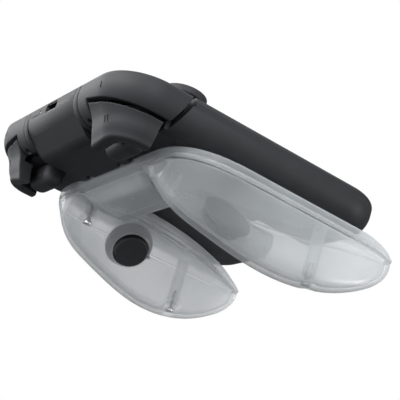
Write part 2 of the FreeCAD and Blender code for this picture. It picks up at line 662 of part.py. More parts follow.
def side_button(name, centre_y):
    """Bar button in the docking side, with a flange behind the rail plate."""
    body = new_body(name)
    side_prism(body, "side_button_x", "side_button_x + side_button_depth",
               rectangle(f"{centre_y} - side_button_half_y", f"{centre_y} + side_button_half_y",
                         "-side_button_half_z", "side_button_half_z"))
    flange_x = "side_inner + rail_depth + gap"
    side_prism(body, flange_x, "side_button_x + side_button_depth",
               rectangle(f"{centre_y} - side_button_half_y - flange",
                         f"{centre_y} + side_button_half_y + flange",
                         "-side_button_half_z - flange", "side_button_half_z + flange"))
    return body


def battery(name):
    body = new_body(name)
    prism(body, "battery_low_z", "battery_top_z",
          rectangle("inner_x", "battery_outer_x", "battery_low_y", "battery_high_y"))
    fillet(body, "battery_round", upright_edges)
    return body


def rumble_motor(name, centre_y):
    body = new_body(name)
    prism(body, "battery_low_z", "battery_top_z",
          rectangle("inner_x + motor_gap", "inner_x + motor_gap + 2 * motor_half", f"{centre_y} - motor_half",
                    f"{centre_y} + motor_half"))
    fillet(body, "motor_round", upright_edges)
    return body


def left_board(name):
    """Main board under the arrow buttons, ending in a shelf beside the stick module."""
    body = new_body(name)
    side_of_stick = "stick_x + module_half + gap"
    below_stick = "stick_high_y - module_half - gap"
    prism(body, "board_low_z", "board_top_z",
          [("inner_x", "board_low_y"), ("board_outer_x", "board_low_y", "board_corner_r"),
           ("board_outer_x", "front_end_y - wall - gap"),
           (side_of_stick, "front_end_y - wall - gap"), (side_of_stick, below_stick),
           ("inner_x", below_stick)])
    return body


def right_board(name):
    """Main board under the face buttons, with a window for the stick module."""
    body = new_body(name)
    shelf_y = "front_end_y - wall - gap"
    upper_x = "side_outer - corner_r + trigger_room_r - wall - 1"
    prism(body, "board_low_z", "board_top_z",
          [("inner_x", "board_low_y"), ("board_outer_x", "board_low_y", "board_corner_r"),
           ("board_outer_x", shelf_y), (upper_x, shelf_y), (upper_x, "menu_y - menu_room"),
           ("inner_x", "menu_y - menu_room")])
    cut_prism(body, "board_low_z", "board_top_z",
              rectangle("0", "stick_x + module_half + gap", "stick_low_y - module_half - gap",
                        "stick_low_y + module_half + gap"))
    return body


# ---- plain solids --------------------------------------------------------------------------------------

def cylinder(name, centre_x, centre_y, radius, low, high):
    """Upright cylinder in the working frame."""
    solid = doc.addObject("Part::Cylinder", name)
    solid.setExpression("Radius", ref(radius))
    solid.setExpression("Height", ref(f"({high}) - ({low})"))
    for axis, text in zip("xyz", (centre_x, centre_y, low)):
        solid.setExpression(f"Placement.Base.{axis}", ref(text))
    return solid


def screw(name, centre_x, centre_y, head_low, tip):
    """Pan head and shank fused into one solid, standing head down."""
    head_top = f"{head_low} + screw_head"
    head = cylinder(f"{name}_head", centre_x, centre_y, "screw_head_r", head_low, head_top)
    shank = cylinder(f"{name}_shank", centre_x, centre_y, "screw_r - running_gap", head_top, tip)
    joined = doc.addObject("Part::Fuse", name)
    joined.Base = head
    joined.Tool = shank
    return joined


def compound(name, members):
    group = doc.addObject("Part::Compound", name)
    group.Links = members
    return place(group)


# ---- centre housing ------------------------------------------------------------------------------------

def housing_front_cover(name):
    """Front of the centre housing, flush with the faces of the controllers."""
    body = new_body(name)
    prism(body, "parting_z", "face_z",
          rectangle("-housing_half", "housing_half", "housing_end_y", "end_y"))
    ends = (at_level("end_y", "y"), at_level("housing_end_y", "y"))
    fillet(body, "front_edge_r", lambda edge: at_level("face_z")(edge) and any(end(edge) for end in ends))
    cut_prism(body, "parting_z", "face_z - wall",
              rectangle("-housing_half + wall", "housing_half - wall", "housing_end_y + wall",
                        "end_y - 2 * wall"))
    post(body, "parting_z", "face_z - wall + gap", *[(x, y, "boss_r") for x, y in HOUSING_SCREWS])
    cut_post(body, "parting_z", "parting_z + screw_bite + 2 * running_gap",
             *[(x, y, "screw_r") for x, y in HOUSING_SCREWS])
    cut_docks(body, "parting_z - beyond", "rail_half_z + gap")
    cut_port(body)
    return body


def cut_docks(body, low, high):
    """Open both sides of the housing for the docking plates."""
    window = rectangle("dock_low_y - gap", "dock_high_y + gap", low, high)
    depth = "housing_half - dock_depth - gap"
    side_cut(body, depth, "housing_half + beyond", window)
    side_cut(body, "-housing_half - beyond", f"-({depth})", window)


def housing_back_cover(name):
    """Back of the centre housing: a round shoulder edge that runs into a shallow belly."""
    body = new_body(name)
    side_prism(body, "-housing_half", "housing_half",
               [("housing_end_y", "parting_z"), ("housing_end_y", "deck_z + gap", "housing_low_round"),
                ("belly_low_y", "deck_z + gap"), ("belly_low_y", "belly_z"),
                ("belly_y", "belly_z", "belly_round"),
                ("end_y", "belly_turn_z", "belly_edge_round"), ("end_y", "parting_z")])
    inner = ("-housing_half + wall", "housing_half - wall")
    cut_prism(body, "floor_step_z", "parting_z",
              rectangle(*inner, "housing_end_y + wall", "end_y - housing_edge"))
    cut_prism(body, "-face_z + wall", "parting_z",
              rectangle(*inner, "housing_end_y + housing_low_room", "end_y - housing_high_room"))
    post(body, "-face_z + wall - gap", "parting_z", *[(x, y, "boss_r") for x, y in HOUSING_SCREWS])
    cut_post(body, "-face_z + wall + screw_head", "parting_z",
             *[(x, y, "screw_r + running_gap") for x, y in HOUSING_SCREWS])
    cut_post(body, "belly_z - beyond", "-face_z + wall + screw_head + gap",
             *[(x, y, "screw_head_r + running_gap") for x, y in HOUSING_SCREWS])
    cut_docks(body, "-rail_half_z - gap", "parting_z + beyond")
    cut_port(body)
    return body


def cut_port(body):
    """Open the shoulder edge of the housing for the port and the charge light, which sit on the parting."""
    front_cut(body, "port_low_y - gap", "end_y + beyond",
              rounded_slot("port_half_x + port_room", "port_half_z + port_room"))
    light = new_sketch(body, "XZ_Plane", "-(light_low_y - gap)")
    draw_circle(light, "light_x", "port_z", "light_r + running_gap")
    extrude(body, light, "end_y + beyond - light_low_y", cut=True)


def rounded_slot(half_x, half_z):
    """Outline of the port's mouth: a slot with round ends."""
    turn = f"({half_z}) * slot_roundness"
    low, high = f"port_z - ({half_z})", f"port_z + ({half_z})"
    left = f"-({half_x})"
    return [(left, low, turn), (half_x, low, turn), (half_x, high, turn), (left, high, turn)]


def usb_port(name):
    """Metal port shell with its contact tongue."""
    body = new_body(name)
    front_prism(body, "port_low_y", "port_high_y", rounded_slot("port_half_x", "port_half_z"))
    front_cut(body, "port_low_y + port_floor", "port_high_y",
              rounded_slot("port_half_x - port_wall", "port_half_z - port_wall"))
    front_prism(body, "port_low_y + tongue_root", "port_high_y - tongue_short",
                rectangle("-tongue_half_x", "tongue_half_x", "port_z - tongue_half_z",
                          "port_z + tongue_half_z"))
    return body


def charge_light(name):
    body = new_body(name)
    sketch = new_sketch(body, "XZ_Plane", "-(end_y - light_sink)")
    draw_circle(sketch, "light_x", "port_z", "light_r")
    extrude(body, sketch, "end_y - light_sink - light_low_y")
    return body


def grip_board(name):
    body = new_body(name)
    prism(body, "grip_board_low_z", "grip_board_top_z",
          rectangle("-grip_board_x", "grip_board_x", "grip_board_low_y", "grip_board_high_y"))
    cut_post(body, "grip_board_low_z", "grip_board_top_z",
             *[(x, y, "boss_r + gap") for x, y in HOUSING_SCREWS])
    return body


def dock_plate(name):
    """Docking plate in the side of the centre housing."""
    body = new_body(name)
    side_prism(body, "housing_half - dock_depth", "housing_half",
               rectangle("dock_low_y", "dock_high_y", "-rail_half_z", "rail_half_z"))
    return body


# ---- grip shells ---------------------------------------------------------------------------------------

def tangent_point(start, centre, radius, side):
    """Where a line from a point touches a circle below it: on its inner side with 1, its outer with -1."""
    reach = start - centre
    spread = math.acos(radius / reach.Length)
    angle = math.atan2(reach.z, reach.x) + side * spread
    return centre + FreeCAD.Vector(math.cos(angle), 0, math.sin(angle)) * radius


def middle_of_arc(centre, radius, start, end):
    toward = ((start - centre) + (end - centre)).normalize()
    return centre + toward * radius


def handle_section(index, inset, top):
    """Closed wire across a handle: flat top, upright inner edge, sloping inner face, ridge, outer side."""
    fields = (size(section_alias(field, index)) for field in SECTION_FIELDS)
    station, inner, outer, ridge_x, ridge, turn = fields
    inner += inset
    outer -= inset
    turn = max(turn - inset, inset / 2)
    centre = FreeCAD.Vector(ridge_x, station, ridge + inset + turn)
    corner = FreeCAD.Vector(inner, station, size("inner_edge_z") + inset / 2)
    outer_corner = FreeCAD.Vector(outer, station, size("band_z"))
    touch = tangent_point(corner, centre, turn, 1)
    outer_touch = tangent_point(outer_corner, centre, turn, -1)
    upper_inner = FreeCAD.Vector(inner, station, top)
    upper_outer = FreeCAD.Vector(outer, station, top)
    edge_r = min(size("inner_edge_r"), (top - corner.z) / 2)
    arc, rounded_start, rounded_end = corner_arc(upper_inner, corner, touch, edge_r)
    ridge_arc = Part.Arc(touch, middle_of_arc(centre, turn, touch, outer_touch), outer_touch)
    edges = [Part.LineSegment(upper_outer, upper_inner), Part.LineSegment(upper_inner, rounded_start), arc,
             Part.LineSegment(rounded_end, touch), ridge_arc, Part.LineSegment(outer_touch, outer_corner),
             Part.LineSegment(outer_corner, upper_outer)]
    return Part.Wire([edge.toShape() for edge in edges])


def handle_solid(inset, top, sections):
    return Part.makeLoft([handle_section(index, inset, top) for index in sections], True, False)


def bridge_solid(inset, top):
    """Middle of the grip between the two handles."""
    low_y, high_y = size("bridge_low_y") + inset, size("bridge_high_y") - inset
    belly = size("bridge_belly_z") + inset
    shoulder = size("inner_edge_z") + inset / 2
    half = size("bridge_half") + inset
    lean = size("bridge_lean")
    outline = [(low_y, top), (low_y, shoulder), (low_y + lean, belly), (high_y - lean, belly),
               (high_y, shoulder), (high_y, top)]
    points = [FreeCAD.Vector(-half, along, up) for along, up in outline]
    face = Part.Face(Part.makePolygon(points + points[:1]))
    block = face.extrude(FreeCAD.Vector(2 * half, 0, 0))
    if inset:
        return block
    long_edges = [edge for edge in block.Edges
                  if edge.BoundBox.XLength > half and edge.BoundBox.ZMax < top - EDGE_TOLERANCE]
    return block.makeFillet(size("inner_edge_r"), long_edges)


def grip_solid(inset, top, sections):
    """Both handles and the middle, whole or, with an inset, as the hollow inside them."""
    right = handle_solid(inset, top, sections)
    left = right.mirror(FreeCAD.Vector(0, 0, 0), FreeCAD.Vector(1, 0, 0))
    return bridge_solid(inset, top).fuse([right, left])


def upright(centre_x, centre_y, radius, low, high):
    return Part.makeCylinder(radius, high - low, FreeCAD.Vector(centre_x, centre_y, low))


def depth_at(solid, centre_x, centre_y):
    """Lowest point of a solid on an upright line."""
    line = Part.makeLine(FreeCAD.Vector(centre_x, centre_y, -100), FreeCAD.Vector(centre_x, centre_y, 100))
    return solid.common(line).BoundBox.ZMin


def both_sides(places):
    return [(side * x, y) for x, y in places for side in (-1, 1)]


def back_button_frame():
    """Placement on the sloping inner face of the right handle, with its Z axis out of the face."""
    tilt = size("back_button_tilt")
    turn = FreeCAD.Rotation(FreeCAD.Vector(0, 1, 0), 180 + tilt)
    origin = FreeCAD.Vector(size("back_button_x"), size("back_button_y"), size("back_button_z"))
    return FreeCAD.Placement(origin, turn)


def grip_shells():
    """The two frosted shells, split along the parting line, with their screw posts and button holes."""
    wall = size("shell_wall")
    everything = range(len(HANDLE_SECTIONS))
    whole = grip_solid(0, size("deck_z"), everything)
    hollow = grip_solid(wall, size("deck_z - deck_wall"), everything[1:-1])
    shell = whole.cut(hollow)
    reach = 200.0
    corner = FreeCAD.Vector(-reach / 2, -reach / 2, size("band_z") - reach)
    lower_half = Part.makeBox(reach, reach, reach, corner)
    back = shell.common(lower_half)
    upper = shell.cut(lower_half)
    deck_middle = size("deck_z - deck_wall / 2")
    for screw_x, screw_y in both_sides(GRIP_SCREWS):
        depth = depth_at(whole, screw_x, screw_y)
        below = depth - size("shell_boss")
        seat = depth + size("shell_boss")
        boss = upright(screw_x, screw_y, size("shell_boss_r"), below, seat).common(whole)
        back = back.fuse(boss)
        back = back.cut(upright(screw_x, screw_y, size("screw_r + running_gap"), below, seat))
        head_top = depth + size("screw_sink + screw_head")
        back = back.cut(upright(screw_x, screw_y, size("screw_head_r + gap"), below, head_top))
        back = back.cut(upright(screw_x, screw_y, size("boss_r + running_gap"), seat, deck_middle))
        upper = upper.fuse(upright(screw_x, screw_y, size("boss_r"), seat, deck_middle))
        upper = upper.cut(upright(screw_x, screw_y, size("screw_r"), seat, head_top + size("screw_shank")))
    hole_depth = size("2 * shell_boss")
    hole = Part.makeCylinder(size("back_button_r + gap"), hole_depth, FreeCAD.Vector(0, 0, -hole_depth / 2))
    hole.Placement = back_button_frame()
    left_hole = hole.mirror(FreeCAD.Vector(0, 0, 0), FreeCAD.Vector(1, 0, 0))
    back = back.cut([hole, left_hole])
    return whole, upper.removeSplitter(), back.removeSplitter()


def shape_feature(name, shape):
    """A piece whose shape is made by Part's functions from the sizes in the sheet."""
    feature = doc.addObject("Part::Feature", name)
    feature.Shape = shape
    return place(feature)


def grip_screws(name, whole):
    screws = []
    for number, (screw_x, screw_y) in enumerate(both_sides(GRIP_SCREWS), start=1):
        head_low = f"{depth_at(whole, screw_x, screw_y)} + screw_sink"
        screws.append(screw(f"{name}_{number}", screw_x, screw_y, head_low,
                            f"{head_low} + screw_head + screw_shank - gap"))
    for number, (screw_x, screw_y) in enumerate(HOUSING_SCREWS, start=len(screws) + 1):
        screws.append(screw(f"{name}_{number}", screw_x, screw_y, "-face_z + wall", "parting_z + screw_bite"))
    return compound(name, screws)


def facing(piece):
    """Stand a piece on the sloping inner face of the right handle."""
    frame = back_button_frame()
    frame.Base += FreeCAD.Vector(0, size("shift_y"), size("rest_height"))
    piece.Placement = frame
    return piece


def back_button(name):
    """Round button with a flange behind the shell."""
    body = doc.addObject("PartDesign::Body", name)
    post(body, "back_button_low", "back_flange_top", ("0", "0", "back_button_r + back_flange"))
    post(body, "back_flange_top", "back_button_rise", ("0", "0", "back_button_r"))
    fillet(body, "button_edge", at_level("back_button_rise"))
    return facing(body)


def button_carrier(name):
    """Plate behind a back button, with the switch under the button's middle."""
    body = doc.addObject("PartDesign::Body", name)
    post(body, "carrier_top - carrier_plate", "carrier_top", ("0", "0", "carrier_r"))
    post(body, "carrier_top", "back_button_low - switch_gap", ("0", "0", "switch_r"))
    for leg_y in ("carrier_leg_place", "-carrier_leg_place"):
        post(body, "carrier_top", "carrier_leg_top", ("0", leg_y, "carrier_leg_r"))
    return facing(body)


# ---- the whole part ------------------------------------------------------------------------------------

FACE_DIRECTIONS = (("up", 0, 1), ("down", 0, -1), ("outer", 1, 0), ("inner", -1, 0))
ARROW_NAMES = {"up": "up", "down": "down", "outer": "left", "inner": "right"}
FACE_NAMES = {"up": "upper", "down": "lower", "outer": "right", "inner": "left"}


def cluster(centre_y):
    """Places of four buttons around a centre."""
    for direction, step_x, step_y in FACE_DIRECTIONS:
        yield direction, f"stick_x + {step_x} * button_pitch", f"{centre_y} + {step_y} * button_pitch"


def face_holes(stick_y, cluster_y):
    holes = [("stick_x", stick_y, "stick_hole_r")]
    holes += [(x, y, "button_r + gap") for _, x, y in cluster(cluster_y)]
    holes.append(("menu_x", "menu_y", "menu_button_r + gap"))
    holes.append(("lower_x", "lower_y", "lower_button_r + gap"))
    return holes


def build_controller(side, keep_piece, stick_y, cluster_y, motor_y, cluster_names, menu_name, lower_name,
                     board):
    """Make one slim controller. keep_piece keeps a right-hand piece as it is or mirrors it to the left."""
    keep_piece(front_cover(f"{side}_front", face_holes(stick_y, cluster_y)), f"{side}_front_cover")
    keep_piece(stick_module(f"{side}_module", stick_y), f"{side}_stick_module")
    keep_piece(stick_cradle(f"{side}_cradle", stick_y), f"{side}_stick_cradle")
    keep_piece(stick_ring(f"{side}_ring", stick_y), f"{side}_stick_ring")
    keep_piece(stick_cap(f"{side}_cap", stick_y), f"{side}_stick_cap")
    keep_piece(rumble_motor(f"{side}_motor", motor_y), f"{side}_rumble_motor")
    keep_piece(board(f"{side}_main_board"), f"{side}_board")
    for direction, button_x, button_y in cluster(cluster_y):
        label = f"{side}_{cluster_names[direction]}_button"
        keep_piece(round_button(f"{side}_{direction}", button_x, button_y, "button_r"), label)
    menu = round_button(f"{side}_menu", "menu_x", "menu_y", "menu_button_r")
    keep_piece(menu, f"{side}_{menu_name}_button")
    low = round_button(f"{side}_low", "lower_x", "lower_y", "lower_button_r")
    keep_piece(low, f"{side}_{lower_name}_button")


def build_twins():
    """Pieces that are the same on both sides, kept on the right and mirrored to the left."""
    makers = {
        "back_cover": back_cover, "rail_plate": rail_plate, "battery": battery, "screws": controller_screws,
        "shoulder_button": shoulder_button, "trigger": trigger, "release_lever": release_lever,
        "rail": dock_plate, "back_button": back_button, "button_carrier": button_carrier,
    }
    for label, maker in makers.items():
        piece = keep(maker(f"right_{label}"), f"right_{label}")
        mirror(piece, f"left_{label}")
    for label in ("side_button_high", "side_button_low"):
        piece = keep(side_button(f"right_{label}", f"{label}_y"), f"right_{label}")
        mirror(piece, f"left_{label}")


def build_grip():
    whole, upper, back = grip_shells()
    keep(shape_feature("grip_upper", upper), "grip_upper_shell")
    keep(shape_feature("grip_back", back), "grip_back_shell")
    keep(grip_screws("screws", whole), "grip_screws")
    for maker in (housing_front_cover, housing_back_cover, usb_port, charge_light, grip_board):
        keep(maker(maker.__name__), maker.__name__)


def check_document():
    """Stop if anything failed to build."""
    for item in doc.Objects:
        if "Invalid" in item.State or "Error" in item.State:
            raise RuntimeError(f"{item.Label} failed to build: {item.State}")
    for piece in nodes:
        if piece.Shape.isNull() or not piece.Shape.isValid():
            raise RuntimeError(f"{piece.Label} has no valid shape")


def main():
    fill_sheet()
    build_grip()
    build_twins()
    build_controller("right", keep, "stick_low_y", "cluster_high_y", "motor_high_y", FACE_NAMES, "plus",
                     "home", right_board)
    build_controller("left", mirror, "stick_high_y", "cluster_low_y", "motor_low_y", ARROW_NAMES, "minus",
                     "capture", left_board)
    doc.recompute()
    check_document()
    os.makedirs("parts", exist_ok=True)
    for piece in nodes:
        piece.Shape.exportStep(f"parts/{piece.Label}.step")
        box = piece.Shape.optimalBoundingBox()
        print(f"{piece.Label}: volume {piece.Shape.Volume:.1f}, solids {len(piece.Shape.Solids)}, "
              f"x {box.XMin:.1f} {box.XMax:.1f}, y {box.YMin:.1f} {box.YMax:.1f}, "
              f"z {box.ZMin:.1f} {box.ZMax:.1f}")


main()
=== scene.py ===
import json
import math

import bmesh
import bpy
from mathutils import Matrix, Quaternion, Vector
from mathutils.bvhtree import BVHTree


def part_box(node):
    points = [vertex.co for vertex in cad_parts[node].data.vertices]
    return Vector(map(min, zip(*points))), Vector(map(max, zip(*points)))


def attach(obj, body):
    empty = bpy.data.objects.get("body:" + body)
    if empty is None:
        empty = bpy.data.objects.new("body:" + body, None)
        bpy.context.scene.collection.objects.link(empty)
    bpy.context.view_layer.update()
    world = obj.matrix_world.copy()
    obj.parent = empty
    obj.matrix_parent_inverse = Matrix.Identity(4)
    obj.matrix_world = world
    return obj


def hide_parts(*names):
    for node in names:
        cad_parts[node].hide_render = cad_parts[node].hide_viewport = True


# Looks of two slim motion controllers docked on a charging grip with frosted handles.
# Lengths are in metres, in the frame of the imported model.

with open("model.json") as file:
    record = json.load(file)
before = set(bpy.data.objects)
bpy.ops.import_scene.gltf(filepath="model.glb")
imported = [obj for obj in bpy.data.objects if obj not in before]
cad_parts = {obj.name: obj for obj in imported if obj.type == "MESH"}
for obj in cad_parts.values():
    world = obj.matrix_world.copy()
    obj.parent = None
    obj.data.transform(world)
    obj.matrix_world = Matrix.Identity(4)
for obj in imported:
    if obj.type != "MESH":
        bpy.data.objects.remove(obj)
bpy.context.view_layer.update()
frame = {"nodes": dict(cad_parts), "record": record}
MM = 0.001
SIDES = ("left", "right")
NODES = frame["nodes"]
BODY_OF = {node: body for body, nodes in frame["record"]["behaviour"]["bodies"].items() for node in nodes}
SLOT_OF = {part["node"]: part["material_slot"] for part in frame["record"]["subparts"]}


def side_sign(side):
    """Which way a side lies along X."""
    return 1 if side == "right" else -1


def share(value):
    """A value held between 0 and 1."""
    return max(0.0, min(1.0, value))


def spot(node, side, outward, along, up):
    """A point of a node's box, by its shares away from the object's middle, along Y and up."""
    low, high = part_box(node)
    near, far = sorted((abs(low.x), abs(high.x)))
    across = near + outward * (far - near)
    return Vector((side_sign(side) * across, low.y + along * (high.y - low.y), low.z + up * (high.z - low.z)))


# ---- materials -------------------------------------------------------------------------------------------

# Most of a noise texture's values lie between these two.
NOISE_LOW = 0.3
NOISE_HIGH = 0.7
GRAIN_STRENGTH = 0.35
CREASE_STRENGTH = 0.4
BRUSHING = (1, 1, 0.08)


def new_material(name):
    """An empty node material with its Principled shader linked to the output."""
    material = bpy.data.materials.new(name)
    material.use_nodes = True
    tree = material.node_tree
    shader = tree.nodes["Principled BSDF"]
    return material, tree, shader


def noise(tree, scale, detail=2.0, roughness=0.5, stretch=None):
    """Solid noise in the object's own coordinates, its scale in cells per metre, drawn out by a stretch."""
    where = tree.nodes.new("ShaderNodeTexCoord")
    texture = tree.nodes.new("ShaderNodeTexNoise")
    texture.inputs["Scale"].default_value = scale
    texture.inputs["Detail"].default_value = detail
    texture.inputs["Roughness"].default_value = roughness
    place = where.outputs["Object"]
    if stretch:
        mapping = tree.nodes.new("ShaderNodeMapping")
        mapping.inputs["Scale"].default_value = stretch
        tree.links.new(place, mapping.inputs["Vector"])
        place = mapping.outputs["Vector"]
    tree.links.new(place, texture.inputs["Vector"])
    return texture


def between(tree, factor, low, high):
    """Spread a noise factor over the values from low to high."""
    spread = tree.nodes.new("ShaderNodeMapRange")
    spread.inputs["From Min"].default_value = NOISE_LOW
    spread.inputs["From Max"].default_value = NOISE_HIGH
    spread.inputs["To Min"].default_value = low
    spread.inputs["To Max"].default_value = high
    tree.links.new(factor, spread.inputs["Value"])
    return spread.outputs["Result"]


def two_tone(tree, factor, low, high):
    """Spread a noise factor over the colours from low to high."""
    ramp = tree.nodes.new("ShaderNodeValToRGB")
    ramp.color_ramp.elements[0].position = NOISE_LOW
    ramp.color_ramp.elements[0].color = (*low, 1)
    ramp.color_ramp.elements[1].position = NOISE_HIGH
    ramp.color_ramp.elements[1].color = (*high, 1)
    tree.links.new(factor, ramp.inputs["Fac"])
    return ramp.outputs["Color"]


def bump(tree, height, strength, distance):
    """A surface normal tipped by a height."""
    node = tree.nodes.new("ShaderNodeBump")
    node.inputs["Strength"].default_value = strength
    node.inputs["Distance"].default_value = distance
    tree.links.new(height, node.inputs["Height"])
    return node.outputs["Normal"]


def grained_plastic(name, dark, light, rough, grain, depth, specular=0.5):
    """Moulded plastic with a spark-eroded grain: slow colour change, fine bump and uneven gloss."""
    material, tree, shader = new_material(name)
    slow = noise(tree, 90, 3)
    fine = noise(tree, grain, 3, 0.6)
    tree.links.new(two_tone(tree, slow.outputs["Fac"], dark, light), shader.inputs["Base Color"])
    tree.links.new(between(tree, fine.outputs["Fac"], rough[0], rough[1]), shader.inputs["Roughness"])
    tree.links.new(bump(tree, fine.outputs["Fac"], GRAIN_STRENGTH, depth), shader.inputs["Normal"])
    shader.inputs["Specular IOR Level"].default_value = specular
    return material


def frosted_plastic(name):
    """Smoky moulded plastic: clear enough to see through square on, and milky where it is seen edge on."""
    material, tree, shader = new_material(name)
    slow = noise(tree, 60, 2)
    colour = two_tone(tree, slow.outputs["Fac"], (0.520, 0.545, 0.555), (0.590, 0.610, 0.620))
    tree.links.new(colour, shader.inputs["Base Color"])
    fine = noise(tree, 700, 2)
    tree.links.new(between(tree, fine.outputs["Fac"], 0.20, 0.27), shader.inputs["Roughness"])
    shader.inputs["Transmission Weight"].default_value = 0.35
    shader.inputs["IOR"].default_value = 1.46
    edge = tree.nodes.new("ShaderNodeLayerWeight")
    edge.inputs["Blend"].default_value = 0.40
    cover = tree.nodes.new("ShaderNodeMapRange")
    cover.inputs["To Min"].default_value = 0.28
    cover.inputs["To Max"].default_value = 0.88
    tree.links.new(edge.outputs["Facing"], cover.inputs["Value"])
    tree.links.new(cover.outputs["Result"], shader.inputs["Alpha"])
    return material


def brushed_steel(name, dark, light):
    """Metal with fine upright streaks of tone and gloss."""
    material, tree, shader = new_material(name)
    streaks = noise(tree, 1500, 4, stretch=BRUSHING)
    tone = two_tone(tree, streaks.outputs["Fac"], dark, light)
    tree.links.new(tone, shader.inputs["Base Color"])
    tree.links.new(between(tree, streaks.outputs["Fac"], 0.25, 0.42), shader.inputs["Roughness"])
    shader.inputs["Metallic"].default_value = 1.0
    return material


def circuit_board(name):
    """Green solder mask with copper tracks under it."""
    material, tree, shader = new_material(name)
    where = tree.nodes.new("ShaderNodeTexCoord")
    tracks = tree.nodes.new("ShaderNodeTexBrick")
    tracks.inputs["Scale"].default_value = 420
    tracks.inputs["Mortar Size"].default_value = 0.08
    tracks.inputs["Color1"].default_value = (0.010, 0.085, 0.045, 1)
    tracks.inputs["Color2"].default_value = (0.012, 0.10, 0.055, 1)
    tracks.inputs["Mortar"].default_value = (0.03, 0.19, 0.09, 1)
    tree.links.new(where.outputs["Object"], tracks.inputs["Vector"])
    tree.links.new(tracks.outputs["Color"], shader.inputs["Base Color"])
    tree.links.new(bump(tree, tracks.outputs["Fac"], CREASE_STRENGTH, 0.03 * MM), shader.inputs["Normal"])
    shader.inputs["Roughness"].default_value = 0.35
    return material


def film_wrap(name):
    """Grey cell wrap with faint creases, its tone darker in their hollows: painted crease shade."""
    material, tree, shader = new_material(name)
    creases = noise(tree, 220, 4, 0.65)
    # Painted shade: the tone follows the crease height, darker where the bump sinks.
    tone = two_tone(tree, creases.outputs["Fac"], (0.15, 0.155, 0.17), (0.24, 0.245, 0.26))
    tree.links.new(tone, shader.inputs["Base Color"])
    tree.links.new(bump(tree, creases.outputs["Fac"], CREASE_STRENGTH, 0.08 * MM), shader.inputs["Normal"])
    tree.links.new(between(tree, creases.outputs["Fac"], 0.3, 0.45), shader.inputs["Roughness"])
    return material


def light_window(name):
    """Smoked glossy window over an unlit charge light."""
    material, tree, shader = new_material(name)
    cloud = noise(tree, 1800, 2)
    tone = two_tone(tree, cloud.outputs["Fac"], (0.16, 0.14, 0.12), (0.30, 0.26, 0.22))
    tree.links.new(tone, shader.inputs["Base Color"])
    tree.links.new(between(tree, cloud.outputs["Fac"], 0.12, 0.22), shader.inputs["Roughness"])
    return material


def printed_mark(name):
    """Near-black pad-printed ink, slightly uneven."""
    material, tree, shader = new_material(name)
    cover = noise(tree, 3500, 2)
    tone = two_tone(tree, cover.outputs["Fac"], (0.0020, 0.0020, 0.0024), (0.0040, 0.0040, 0.0046))
    tree.links.new(tone, shader.inputs["Base Color"])
    shader.inputs["Roughness"].default_value = 0.8
    shader.inputs["Specular IOR Level"].default_value = 0.08
    return material


MATERIALS = {
    "frosted_shell": frosted_plastic("frosted_shell"),
    "dark_casing": grained_plastic("dark_casing", (0.0095, 0.0098, 0.0112), (0.0125, 0.0128, 0.0145),
                                   (0.52, 0.62), 2400, 0.02 * MM, 0.30),
    "dark_button": grained_plastic("dark_button", (0.0115, 0.0118, 0.0132), (0.0145, 0.0148, 0.0165),
                                   (0.50, 0.60), 2600, 0.02 * MM, 0.30),
    "stick_rubber": grained_plastic("stick_rubber", (0.010, 0.010, 0.011), (0.016, 0.016, 0.017),
                                    (0.50, 0.65), 1700, 0.08 * MM, 0.35),
    "steel": brushed_steel("steel", (0.50, 0.51, 0.53), (0.66, 0.67, 0.69)),
    "circuit_board": circuit_board("circuit_board"),
    "cell_wrap": film_wrap("cell_wrap"),
    "inner_plastic": grained_plastic("inner_plastic", (0.016, 0.014, 0.024), (0.028, 0.025, 0.040),
                                     (0.4, 0.55), 1500, 0.05 * MM),
    "light_window": light_window("light_window"),
}
PRINT = printed_mark("printed_mark")
# Steel painted nearly black: painted shade standing in for the dark inside of the port's hollow, where the
# real metal is bright.
PORT_STEEL_PAINTED_SHADE = brushed_steel("port_steel_painted_shade", (0.020, 0.021, 0.023), (0.038, 0.039, 0.042))


def dress(piece, material):
    """Give a piece one material."""
    piece.data.materials.clear()
    piece.data.materials.append(material)


# ---- pieces made from the frame's own shapes --------------------------------------------------------------

# Handles: their tips are drawn in from TIP_START on, and their top down to the shells' parting line.
shell_low, shell_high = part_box("grip_back_shell")
PARTING = shell_high.z
TIP_START = -44 * MM
TIP_END = shell_low.y
TIP_DROP = 0.85
TIP_NARROWING = 2.6 * MM
HANDLE_MIDDLE = 38 * MM
HANDLE_OUTSIDE = 55 * MM

# Joins: where the middle of the grip ends in the handles, and how far round it the surface is melted.
BRIDGE_END = 22.6 * MM
BRIDGE_LOW = 5 * MM
BRIDGE_HIGH = shell_high.y
MELT_REACH = 12 * MM
MELT_MARGIN = 2.5 * MM
MELT_PASSES = 80
MELT_ELSEWHERE = 0.25

# Triggers: the axis of their rounded corner, the hollow face that is filled, and the lip that is shortened.
CORNER_X = 33 * MM
CORNER_Y = 40 * MM
CORNER_CORE = 8 * MM
FACE_LOW = 20 * MM
FACE_HIGH = 32 * MM
FACE_FILL = 0.9 * MM
LIP_START = 26 * MM
LIP_RAISE = 0.30
LIP_INNER = 29 * MM
LIP_SPAN = 12 * MM

# Printed bars: their size, and their place on a button as shares of its box.
BAR_WIDTH = 0.45 * MM
BAR_LENGTH = 2.4 * MM
BAR_PITCH = 1.5 * MM
BAR_PROUD = 0.03 * MM
BAR_REACH = 4 * MM
BAR_TIP = 0.35
BAR_ROUNDNESS = 6
BAR_GRID = (4, 16)
SHOULDER_BAR = (0.518, 0.993, 0.601)
SHOULDER_FACING = (0.11, 0.99, -0.13)
TRIGGER_BAR = (0.467, 0.749, 0.581)
TRIGGER_FACING = (0.19, 0.88, -0.44)

# Meshes and edges.
SMOOTHING = 0.5
SHELL_VOXEL = 0.7 * MM
SHELL_PASSES = 8
JOINED_WITHIN = 0.001 * MM
SHARP_ANGLE = math.radians(35)
HOUSING_EDGE = 0.25 * MM
COVER_EDGE = 0.2 * MM
SMALL_EDGE = 0.12 * MM


